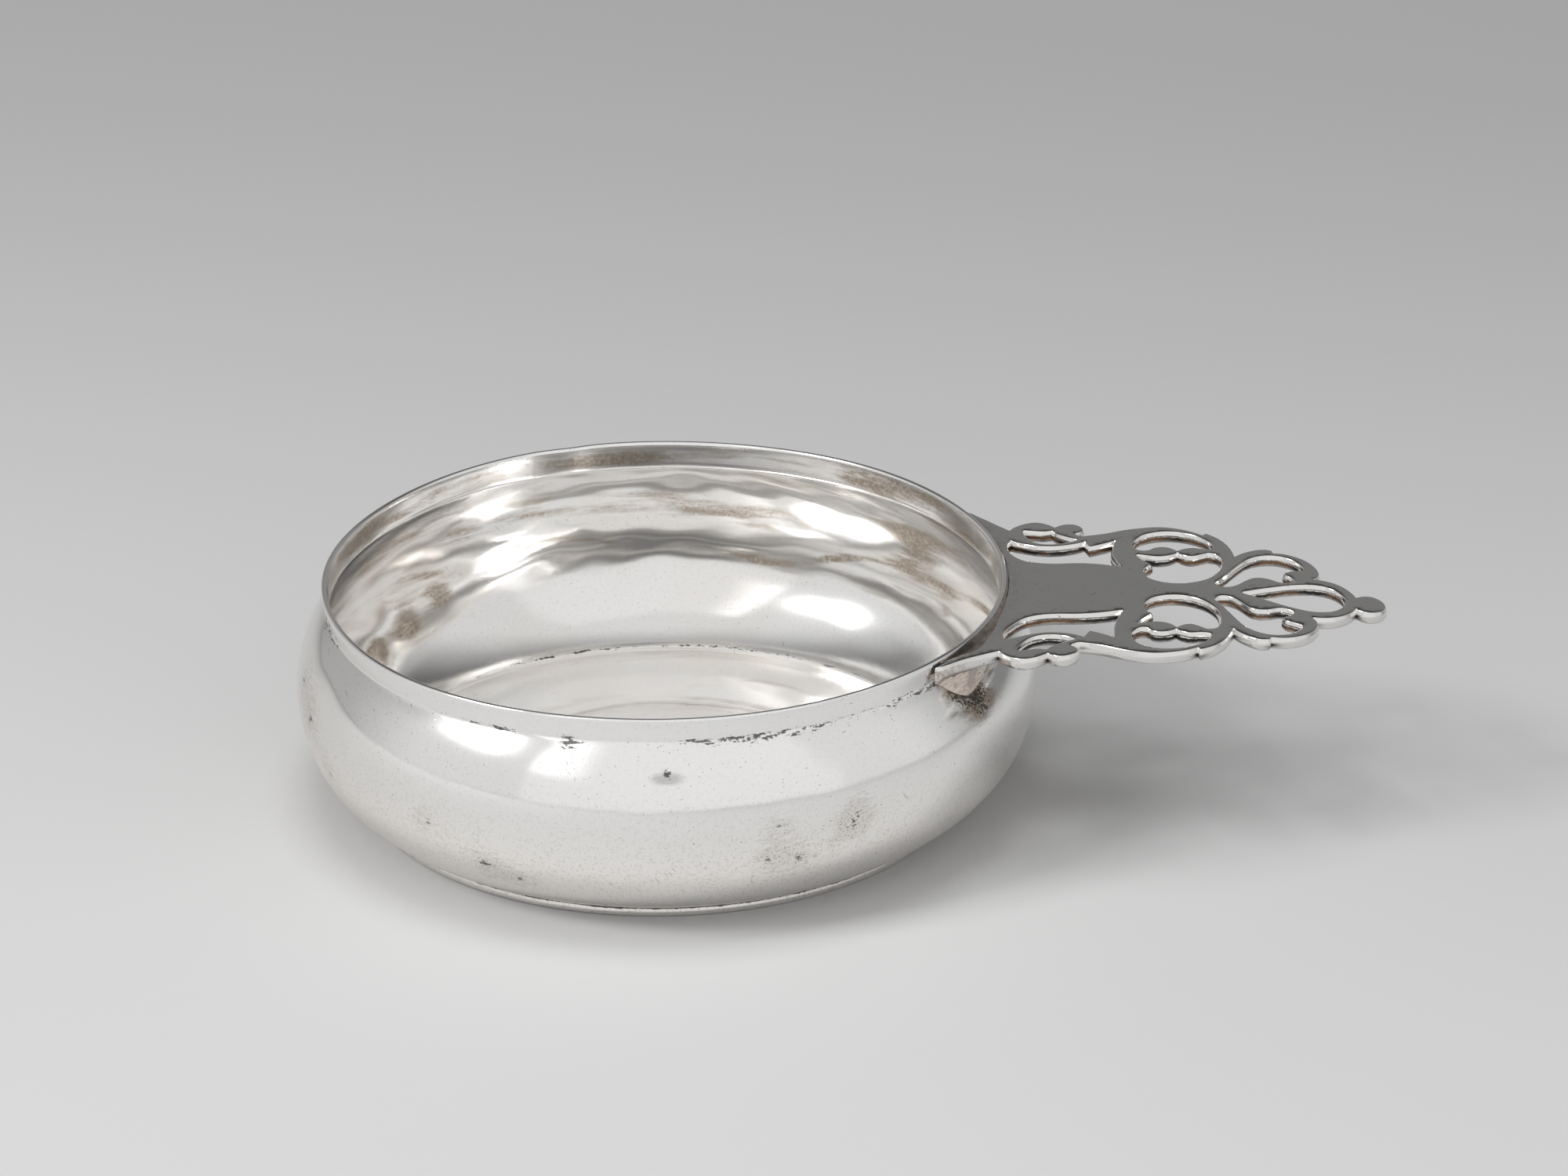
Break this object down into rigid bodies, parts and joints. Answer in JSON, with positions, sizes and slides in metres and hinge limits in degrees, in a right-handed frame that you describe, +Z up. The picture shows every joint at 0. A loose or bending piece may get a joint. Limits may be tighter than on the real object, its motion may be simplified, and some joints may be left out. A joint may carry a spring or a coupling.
{
  "type": "silver porringer",
  "caption": "Round low bowl with a swelling belly, a narrow upright rim band and one flat pierced scroll handle soldered against the rim.",
  "frame": {"origin": "on the surface the bowl stands on, under the middle of the whole object's box", "axes": "+X along the handle away from the bowl, +Z up, the bowl stands on its base ring"},
  "size_m": [0.2098, 0.1432, 0.0448],
  "materials": {
    "bowl_silver": "hand-raised silver, polished, with fine scratches and brown tarnish",
    "handle_silver": "cast silver, filed and polished flat, dark tarnish in the piercings",
    "silver_solder": "dull pitted silver solder"
  },
  "bodies": {
    "root": {"bowl": "bowl_silver", "handle": "handle_silver", "rim_solder_seam": "silver_solder", "root_solder_fillet": "silver_solder"}
  },
  "joints": []
}
